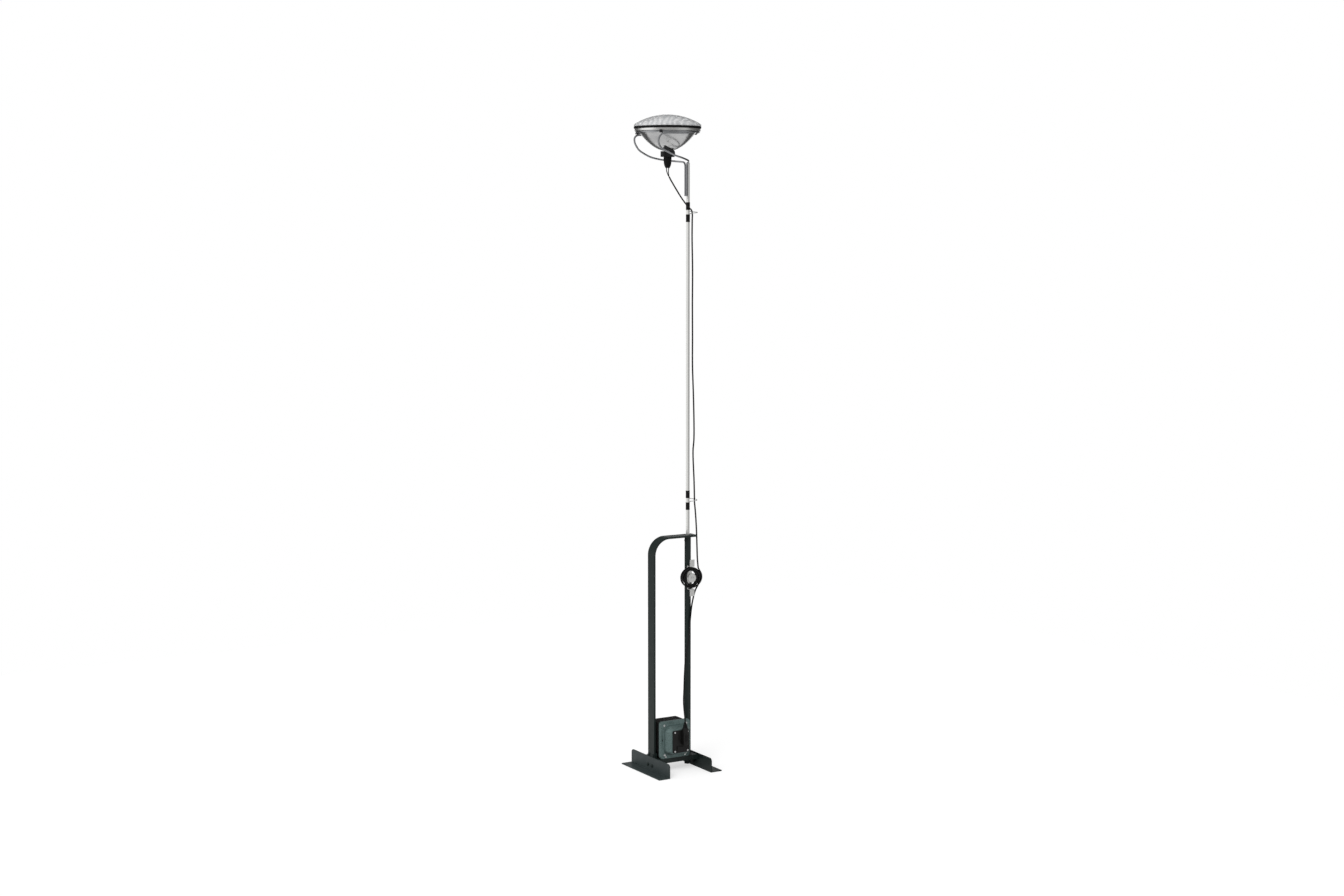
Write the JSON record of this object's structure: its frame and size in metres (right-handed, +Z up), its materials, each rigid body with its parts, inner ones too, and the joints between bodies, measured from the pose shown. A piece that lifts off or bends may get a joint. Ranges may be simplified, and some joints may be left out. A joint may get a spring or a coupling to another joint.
{
  "type": "floor lamp",
  "caption": "Telescopic uplighter: a sealed reflector lamp on a sliding hexagonal stem, with a flat handle, two angle feet and a transformer between them.",
  "frame": {"origin": "on the floor, under the middle of the base between its two feet", "axes": "+Z up along the stem, +X from the handle's leg towards the post, -Y towards the side with the switch and plug"},
  "size_m": [0.205, 0.21, 1.8142],
  "materials": {
    "dark_paint": "satin dark green-grey paint",
    "cover_paint": "hammered grey-green paint",
    "bush_brass": "plain brass",
    "black_steel": "blackened steel",
    "plated_steel": "bright zinc plate",
    "black_rubber": "matt black rubber",
    "core_iron": "black varnished laminations",
    "winding_copper": "enamelled copper",
    "black_plastic": "black moulded plastic",
    "nickel": "matt nickel plate",
    "cord_black": "flat twin flex, black",
    "bright_aluminium": "bright drawn aluminium",
    "chrome_rod": "chrome plate",
    "lens_glass": "pressed prismatic glass",
    "mirror_bowl": "pressed glass, silvered inside",
    "filament_wire": "tungsten coil on steel posts"
  },
  "bodies": {
    "base": {"left_foot": "dark_paint", "right_foot": "dark_paint", "platform": "dark_paint", "handle": "dark_paint", "post": "dark_paint", "post_bush": "bush_brass", "clamp_nut": "dark_paint", "handle_screws": "plated_steel", "foot_screws": "plated_steel", "core_packer": "black_rubber", "packer_screws": "plated_steel", "transformer_core": "core_iron", "transformer_winding": "winding_copper", "front_cover": "cover_paint", "back_cover": "dark_paint", "core_bolts": "plated_steel", "cover_screws": "plated_steel", "terminal_panel": "black_plastic", "panel_screws": "plated_steel", "switch_body": "black_plastic", "cord_inlet": "black_plastic", "cord_plug": "black_plastic", "plug_relief": "black_rubber", "mains_gland": "black_plastic", "winder_strip": "nickel", "winder_disc": "nickel", "winder_screw": "plated_steel", "cord_coil": "cord_black", "cord_lower": "cord_black", "cord_riser": "cord_black"},
    "clamp": {"clamp_screw": "black_steel"},
    "rocker": {"switch_rocker": "black_plastic"},
    "stem": {"stem": "bright_aluminium", "stem_slider": "bright_aluminium", "stem_cap": "bright_aluminium", "upper_guide": "plated_steel", "lower_guide": "plated_steel", "upper_sleeves": "black_rubber", "lower_sleeves": "black_rubber", "near_arm": "chrome_rod", "far_arm": "chrome_rod", "support_ring": "chrome_rod", "lamp_rim": "chrome_rod", "rim_gasket": "black_rubber", "rim_clips": "chrome_rod", "lens": "lens_glass", "reflector": "mirror_bowl", "filament": "filament_wire", "lamp_prongs": "bush_brass", "lamp_holder": "black_plastic", "holder_clip": "black_steel", "holder_boot": "black_rubber", "lamp_leads": "cord_black", "cord_upper": "cord_black"}
  },
  "joints": [
    {"name": "stem_slide", "type": "slide", "parent": "base", "child": "stem", "axis": [0, 0, 1], "range_m": [-0.068, 0.135], "deforming": ["cord_riser"]},
    {"name": "rocker_tip", "type": "hinge", "parent": "base", "child": "rocker", "pos_m": [-0.0134, -0.0685, 0.0715], "axis": [0, 0, 1], "range_deg": [0, 16]},
    {"name": "clamp_turn", "type": "hinge", "parent": "base", "child": "clamp", "pos_m": [0.053, 0, 0.6395], "axis": [0, 1, 0], "range_deg": [0, 360]}
  ]
}
